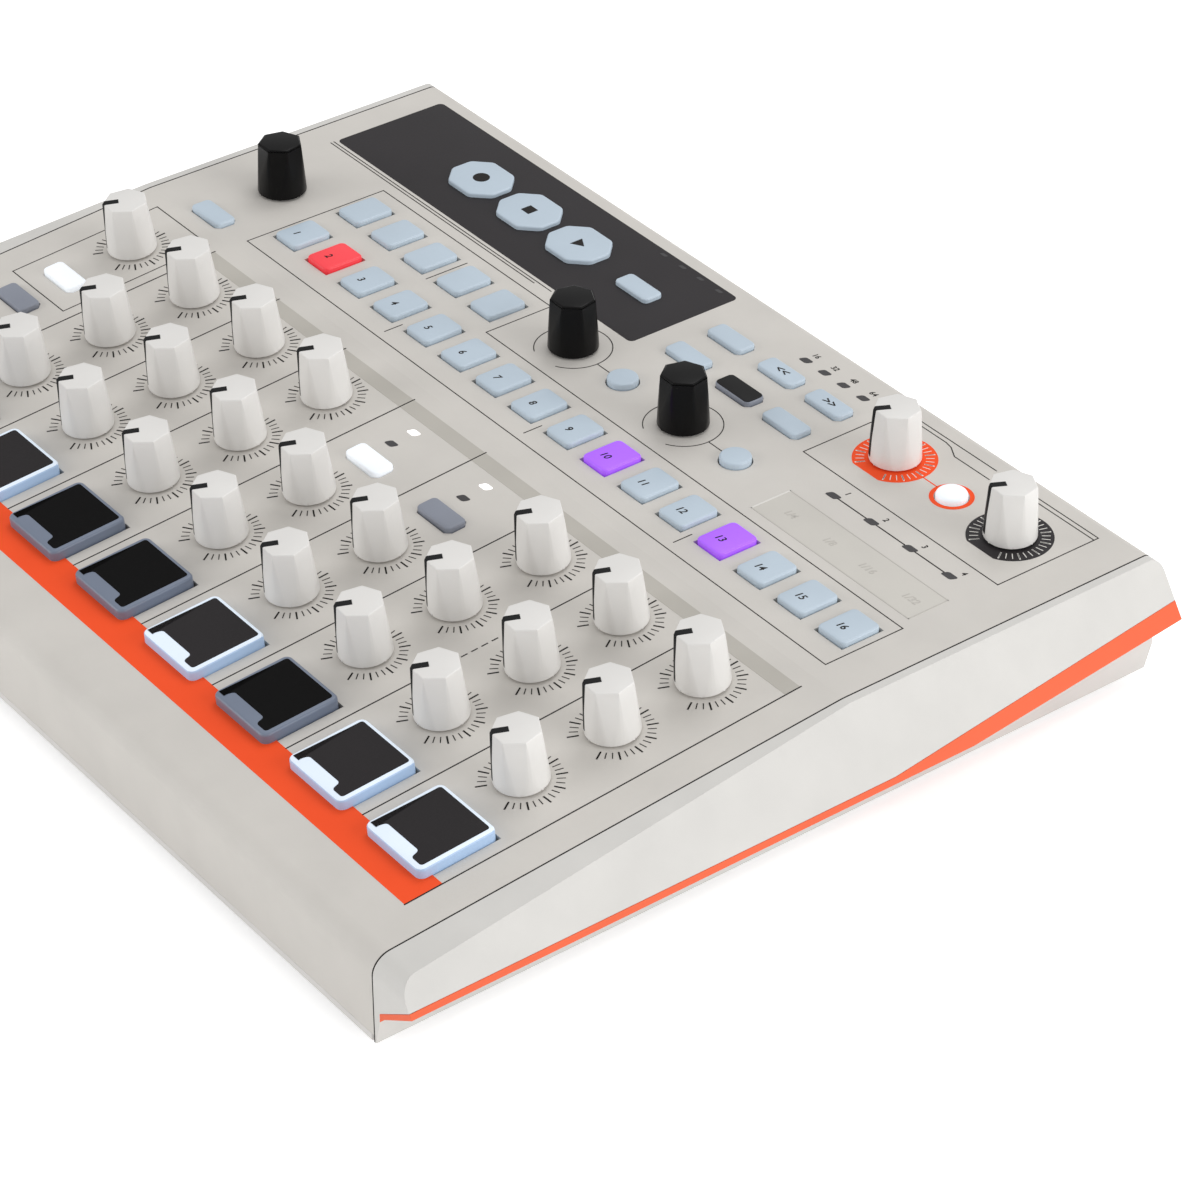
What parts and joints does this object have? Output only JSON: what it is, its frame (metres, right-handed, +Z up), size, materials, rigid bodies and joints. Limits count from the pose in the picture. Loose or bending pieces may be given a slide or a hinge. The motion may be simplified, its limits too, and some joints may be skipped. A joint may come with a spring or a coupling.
{
  "type": "drum machine",
  "caption": "Desktop drum machine: wedge case with drum pads, faceted knobs over dials, backlit step keys, touch strip and orange side trim.",
  "frame": {"origin": "bottom centre of the whole machine, on the surface it stands on", "axes": "+X to the player's right along the row of pads, +Y away from the player towards the sockets, +Z up"},
  "size_m": [0.3162, 0.226, 0.0515],
  "materials": {
    "panel": "satin",
    "base": "satin",
    "cheek": "satin",
    "trim": "satin",
    "metal": "satin",
    "board": "satin",
    "strip": "satin",
    "display": "gloss",
    "socket": "satin",
    "rubber": "matte",
    "screw": "satin",
    "white_knob": "satin",
    "black_knob": "satin",
    "pad": "matte",
    "key": "satin"
  },
  "bodies": {
    "case": {"top_shell": "panel", "bottom_shell": "base", "left_side_cheek": "cheek", "right_side_cheek": "cheek", "side_trim_strips": "trim", "pot_housings": "metal", "circuit_boards": "board", "touch_strip": "strip", "display_module": "display", "rear_sockets": "socket", "rubber_feet": "rubber", "case_screws": "screw"},
    "kick_level_knob": {"kick_level_knob": "white_knob"},
    "snare_one_level_knob": {"snare_one_level_knob": "white_knob"},
    "snare_two_level_knob": {"snare_two_level_knob": "white_knob"},
    "tom_level_knob": {"tom_level_knob": "white_knob"},
    "cymbal_level_knob": {"cymbal_level_knob": "white_knob"},
    "closed_hat_level_knob": {"closed_hat_level_knob": "white_knob"},
    "open_hat_level_knob": {"open_hat_level_knob": "white_knob"},
    "fm_level_knob": {"fm_level_knob": "white_knob"},
    "kick_pitch_knob": {"kick_pitch_knob": "white_knob"},
    "snare_one_tone_knob": {"snare_one_tone_knob": "white_knob"},
    "snare_two_tone_knob": {"snare_two_tone_knob": "white_knob"},
    "tom_pitch_knob": {"tom_pitch_knob": "white_knob"},
    "cymbal_decay_knob": {"cymbal_decay_knob": "white_knob"},
    "hats_tone_knob": {"hats_tone_knob": "white_knob"},
    "open_hat_decay_knob": {"open_hat_decay_knob": "white_knob"},
    "carrier_pitch_knob": {"carrier_pitch_knob": "white_knob"},
    "metronome_volume_knob": {"metronome_volume_knob": "white_knob"},
    "kick_decay_knob": {"kick_decay_knob": "white_knob"},
    "snare_one_decay_knob": {"snare_one_decay_knob": "white_knob"},
    "snare_two_decay_knob": {"snare_two_decay_knob": "white_knob"},
    "modulator_pitch_knob": {"modulator_pitch_knob": "white_knob"},
    "fm_amount_knob": {"fm_amount_knob": "white_knob"},
    "fm_decay_knob": {"fm_decay_knob": "white_knob"},
    "distortion_knob": {"distortion_knob": "white_knob"},
    "master_volume_knob": {"master_volume_knob": "white_knob"},
    "swing_encoder": {"swing_encoder": "black_knob"},
    "random_encoder": {"random_encoder": "black_knob"},
    "tempo_encoder": {"tempo_encoder": "black_knob"},
    "kick_pad": {"kick_pad": "pad"},
    "snare_one_pad": {"snare_one_pad": "pad"},
    "snare_two_pad": {"snare_two_pad": "pad"},
    "tom_pad": {"tom_pad": "pad"},
    "cymbal_pad": {"cymbal_pad": "pad"},
    "closed_hat_pad": {"closed_hat_pad": "pad"},
    "open_hat_pad": {"open_hat_pad": "pad"},
    "fm_pad": {"fm_pad": "pad"},
    "step_keys_1_to_8": {"step_keys_1_to_8": "key"},
    "step_keys_9_to_16": {"step_keys_9_to_16": "key"},
    "mode_keys": {"mode_keys": "key"},
    "edit_keys": {"edit_keys": "key"},
    "left_edge_keys": {"left_edge_keys": "key"},
    "type_keys": {"type_keys": "key"},
    "sync_and_tap_keys": {"sync_and_tap_keys": "key"},
    "round_keys": {"round_keys": "key"},
    "play_button": {"play_button": "key"},
    "stop_button": {"stop_button": "key"},
    "record_button": {"record_button": "key"},
    "power_switch": {"power_switch": "socket"}
  },
  "joints": [
    {"name": "kick_level_knob_turn", "type": "hinge", "parent": "case", "child": "kick_level_knob", "pos_m": [-0.09185, -0.05479, 0.03086], "axis": [0, 0.0802, -0.9968], "range_deg": [0, 300]},
    {"name": "snare_one_level_knob_turn", "type": "hinge", "parent": "case", "child": "snare_one_level_knob", "pos_m": [-0.06185, -0.05479, 0.03086], "axis": [0, 0.0802, -0.9968], "range_deg": [0, 300]},
    {"name": "snare_two_level_knob_turn", "type": "hinge", "parent": "case", "child": "snare_two_level_knob", "pos_m": [-0.03185, -0.05479, 0.03086], "axis": [0, 0.0802, -0.9968], "range_deg": [0, 300]},
    {"name": "tom_level_knob_turn", "type": "hinge", "parent": "case", "child": "tom_level_knob", "pos_m": [-0.00185, -0.05479, 0.03086], "axis": [0, 0.0802, -0.9968], "range_deg": [0, 300]},
    {"name": "cymbal_level_knob_turn", "type": "hinge", "parent": "case", "child": "cymbal_level_knob", "pos_m": [0.02815, -0.05479, 0.03086], "axis": [0, 0.0802, -0.9968], "range_deg": [0, 300]},
    {"name": "closed_hat_level_knob_turn", "type": "hinge", "parent": "case", "child": "closed_hat_level_knob", "pos_m": [0.05815, -0.05479, 0.03086], "axis": [0, 0.0802, -0.9968], "range_deg": [0, 300]},
    {"name": "open_hat_level_knob_turn", "type": "hinge", "parent": "case", "child": "open_hat_level_knob", "pos_m": [0.08815, -0.05479, 0.03086], "axis": [0, 0.0802, -0.9968], "range_deg": [0, 300]},
    {"name": "fm_level_knob_turn", "type": "hinge", "parent": "case", "child": "fm_level_knob", "pos_m": [0.11815, -0.05479, 0.03086], "axis": [0, 0.0802, -0.9968], "range_deg": [0, 300]},
    {"name": "kick_pitch_knob_turn", "type": "hinge", "parent": "case", "child": "kick_pitch_knob", "pos_m": [-0.09185, -0.02947, 0.03289], "axis": [0, 0.0802, -0.9968], "range_deg": [0, 300]},
    {"name": "snare_one_tone_knob_turn", "type": "hinge", "parent": "case", "child": "snare_one_tone_knob", "pos_m": [-0.06185, -0.02947, 0.03289], "axis": [0, 0.0802, -0.9968], "range_deg": [0, 300]},
    {"name": "snare_two_tone_knob_turn", "type": "hinge", "parent": "case", "child": "snare_two_tone_knob", "pos_m": [-0.03185, -0.02947, 0.03289], "axis": [0, 0.0802, -0.9968], "range_deg": [0, 300]},
    {"name": "tom_pitch_knob_turn", "type": "hinge", "parent": "case", "child": "tom_pitch_knob", "pos_m": [-0.00185, -0.02947, 0.03289], "axis": [0, 0.0802, -0.9968], "range_deg": [0, 300]},
    {"name": "cymbal_decay_knob_turn", "type": "hinge", "parent": "case", "child": "cymbal_decay_knob", "pos_m": [0.02815, -0.02947, 0.03289], "axis": [0, 0.0802, -0.9968], "range_deg": [0, 300]},
    {"name": "hats_tone_knob_turn", "type": "hinge", "parent": "case", "child": "hats_tone_knob", "pos_m": [0.05815, -0.02947, 0.03289], "axis": [0, 0.0802, -0.9968], "range_deg": [0, 300]},
    {"name": "open_hat_decay_knob_turn", "type": "hinge", "parent": "case", "child": "open_hat_decay_knob", "pos_m": [0.08815, -0.02947, 0.03289], "axis": [0, 0.0802, -0.9968], "range_deg": [0, 300]},
    {"name": "carrier_pitch_knob_turn", "type": "hinge", "parent": "case", "child": "carrier_pitch_knob", "pos_m": [0.11815, -0.02947, 0.03289], "axis": [0, 0.0802, -0.9968], "range_deg": [0, 300]},
    {"name": "metronome_volume_knob_turn", "type": "hinge", "parent": "case", "child": "metronome_volume_knob", "pos_m": [-0.12185, -0.00385, 0.03495], "axis": [0, 0.0802, -0.9968], "range_deg": [0, 300]},
    {"name": "kick_decay_knob_turn", "type": "hinge", "parent": "case", "child": "kick_decay_knob", "pos_m": [-0.09185, -0.00385, 0.03495], "axis": [0, 0.0802, -0.9968], "range_deg": [0, 300]},
    {"name": "snare_one_decay_knob_turn", "type": "hinge", "parent": "case", "child": "snare_one_decay_knob", "pos_m": [-0.06185, -0.00385, 0.03495], "axis": [0, 0.0802, -0.9968], "range_deg": [0, 300]},
    {"name": "snare_two_decay_knob_turn", "type": "hinge", "parent": "case", "child": "snare_two_decay_knob", "pos_m": [-0.03185, -0.00385, 0.03495], "axis": [0, 0.0802, -0.9968], "range_deg": [0, 300]},
    {"name": "modulator_pitch_knob_turn", "type": "hinge", "parent": "case", "child": "modulator_pitch_knob", "pos_m": [0.05815, -0.00385, 0.03495], "axis": [0, 0.0802, -0.9968], "range_deg": [0, 300]},
    {"name": "fm_amount_knob_turn", "type": "hinge", "parent": "case", "child": "fm_amount_knob", "pos_m": [0.08815, -0.00385, 0.03495], "axis": [0, 0.0802, -0.9968], "range_deg": [0, 300]},
    {"name": "fm_decay_knob_turn", "type": "hinge", "parent": "case", "child": "fm_decay_knob", "pos_m": [0.11815, -0.00385, 0.03495], "axis": [0, 0.0802, -0.9968], "range_deg": [0, 300]},
    {"name": "distortion_knob_turn", "type": "hinge", "parent": "case", "child": "distortion_knob", "pos_m": [0.0769, 0.08829, 0.03653], "axis": [0, 0, -1], "range_deg": [0, 300]},
    {"name": "master_volume_knob_turn", "type": "hinge", "parent": "case", "child": "master_volume_knob", "pos_m": [0.1185, 0.08829, 0.03653], "axis": [0, 0, -1], "range_deg": [0, 300]},
    {"name": "swing_encoder_turn", "type": "hinge", "parent": "case", "child": "swing_encoder", "pos_m": [-0.0109, 0.05699, 0.03653], "axis": [0, 0, -1], "continuous": true},
    {"name": "random_encoder_turn", "type": "hinge", "parent": "case", "child": "random_encoder", "pos_m": [0.0338, 0.05699, 0.03653], "axis": [0, 0, -1], "continuous": true},
    {"name": "tempo_encoder_turn", "type": "hinge", "parent": "case", "child": "tempo_encoder", "pos_m": [-0.121, 0.04289, 0.03653], "axis": [0, 0, -1], "continuous": true},
    {"name": "kick_pad_press", "type": "slide", "parent": "case", "child": "kick_pad", "axis": [0, 0.0802, -0.9968], "range_m": [0, 0.0008], "stiffness_N_per_m": 200, "springref_m": -0.0005},
    {"name": "snare_one_pad_press", "type": "slide", "parent": "case", "child": "snare_one_pad", "axis": [0, 0.0802, -0.9968], "range_m": [0, 0.0008], "stiffness_N_per_m": 200, "springref_m": -0.0005},
    {"name": "snare_two_pad_press", "type": "slide", "parent": "case", "child": "snare_two_pad", "axis": [0, 0.0802, -0.9968], "range_m": [0, 0.0008], "stiffness_N_per_m": 200, "springref_m": -0.0005},
    {"name": "tom_pad_press", "type": "slide", "parent": "case", "child": "tom_pad", "axis": [0, 0.0802, -0.9968], "range_m": [0, 0.0008], "stiffness_N_per_m": 200, "springref_m": -0.0005},
    {"name": "cymbal_pad_press", "type": "slide", "parent": "case", "child": "cymbal_pad", "axis": [0, 0.0802, -0.9968], "range_m": [0, 0.0008], "stiffness_N_per_m": 200, "springref_m": -0.0005},
    {"name": "closed_hat_pad_press", "type": "slide", "parent": "case", "child": "closed_hat_pad", "axis": [0, 0.0802, -0.9968], "range_m": [0, 0.0008], "stiffness_N_per_m": 200, "springref_m": -0.0005},
    {"name": "open_hat_pad_press", "type": "slide", "parent": "case", "child": "open_hat_pad", "axis": [0, 0.0802, -0.9968], "range_m": [0, 0.0008], "stiffness_N_per_m": 200, "springref_m": -0.0005},
    {"name": "fm_pad_press", "type": "slide", "parent": "case", "child": "fm_pad", "axis": [0, 0.0802, -0.9968], "range_m": [0, 0.0008], "stiffness_N_per_m": 200, "springref_m": -0.0005},
    {"name": "step_keys_1_to_8_press", "type": "slide", "parent": "case", "child": "step_keys_1_to_8", "axis": [0, 0, -1], "range_m": [0, 0.0008], "stiffness_N_per_m": 200, "springref_m": -0.0005},
    {"name": "step_keys_9_to_16_press", "type": "slide", "parent": "case", "child": "step_keys_9_to_16", "axis": [0, 0, -1], "range_m": [0, 0.0008], "stiffness_N_per_m": 200, "springref_m": -0.0005},
    {"name": "mode_keys_press", "type": "slide", "parent": "case", "child": "mode_keys", "axis": [0, 0, -1], "range_m": [0, 0.0008], "stiffness_N_per_m": 200, "springref_m": -0.0005},
    {"name": "edit_keys_press", "type": "slide", "parent": "case", "child": "edit_keys", "axis": [0, 0, -1], "range_m": [0, 0.0008], "stiffness_N_per_m": 200, "springref_m": -0.0005},
    {"name": "left_edge_keys_press", "type": "slide", "parent": "case", "child": "left_edge_keys", "axis": [0, 0.0802, -0.9968], "range_m": [0, 0.0008], "stiffness_N_per_m": 200, "springref_m": -0.0005},
    {"name": "type_keys_press", "type": "slide", "parent": "case", "child": "type_keys", "axis": [0, 0.0802, -0.9968], "range_m": [0, 0.0008], "stiffness_N_per_m": 200, "springref_m": -0.0005},
    {"name": "sync_and_tap_keys_press", "type": "slide", "parent": "case", "child": "sync_and_tap_keys", "axis": [0, 0, -1], "range_m": [0, 0.0008], "stiffness_N_per_m": 200, "springref_m": -0.0005},
    {"name": "round_keys_press", "type": "slide", "parent": "case", "child": "round_keys", "axis": [0, 0, -1], "range_m": [0, 0.0008], "stiffness_N_per_m": 200, "springref_m": -0.0005},
    {"name": "play_button_press", "type": "slide", "parent": "case", "child": "play_button", "axis": [0, 0, -1], "range_m": [0, 0.0008], "stiffness_N_per_m": 200, "springref_m": -0.0005},
    {"name": "stop_button_press", "type": "slide", "parent": "case", "child": "stop_button", "axis": [0, 0, -1], "range_m": [0, 0.0008], "stiffness_N_per_m": 200, "springref_m": -0.0005},
    {"name": "record_button_press", "type": "slide", "parent": "case", "child": "record_button", "axis": [0, 0, -1], "range_m": [0, 0.0008], "stiffness_N_per_m": 200, "springref_m": -0.0005},
    {"name": "power_switch_press", "type": "slide", "parent": "case", "child": "power_switch", "axis": [0, -1, 0], "range_m": [0, 0.0015], "stiffness_N_per_m": 300, "springref_m": -0.001}
  ]
}
